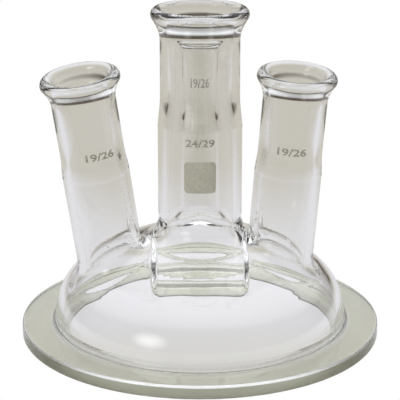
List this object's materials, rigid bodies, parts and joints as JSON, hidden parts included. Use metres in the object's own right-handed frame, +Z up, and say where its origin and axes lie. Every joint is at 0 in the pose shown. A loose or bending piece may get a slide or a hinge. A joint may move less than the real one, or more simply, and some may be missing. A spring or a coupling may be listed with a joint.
{
  "type": "four-neck separable flask lid",
  "caption": "Clear glass lid for a separable reaction flask: flat ground flange, blown dome, upright centre neck, leaning side necks and a rear neck, all with tapered sockets.",
  "frame": {"origin": "on the axis of the centre neck, at the flange's ground face", "axes": "+Z up along the centre neck, -Y towards the front where the marks are, +X to the right seen from the front"},
  "size_m": [0.132, 0.132, 0.1213],
  "materials": {
    "clear_glass": "polished",
    "enamel": "matte"
  },
  "bodies": {
    "root": {"ground_flange": "clear_glass", "dome": "clear_glass", "centre_neck_tube": "clear_glass", "centre_socket": "clear_glass", "left_neck_tube": "clear_glass", "left_socket": "clear_glass", "right_neck_tube": "clear_glass", "right_socket": "clear_glass", "rear_neck_tube": "clear_glass", "rear_socket": "clear_glass", "centre_size_mark": "enamel", "left_size_mark": "enamel", "right_size_mark": "enamel", "rear_size_mark": "enamel", "marking_panel": "enamel"}
  },
  "joints": []
}
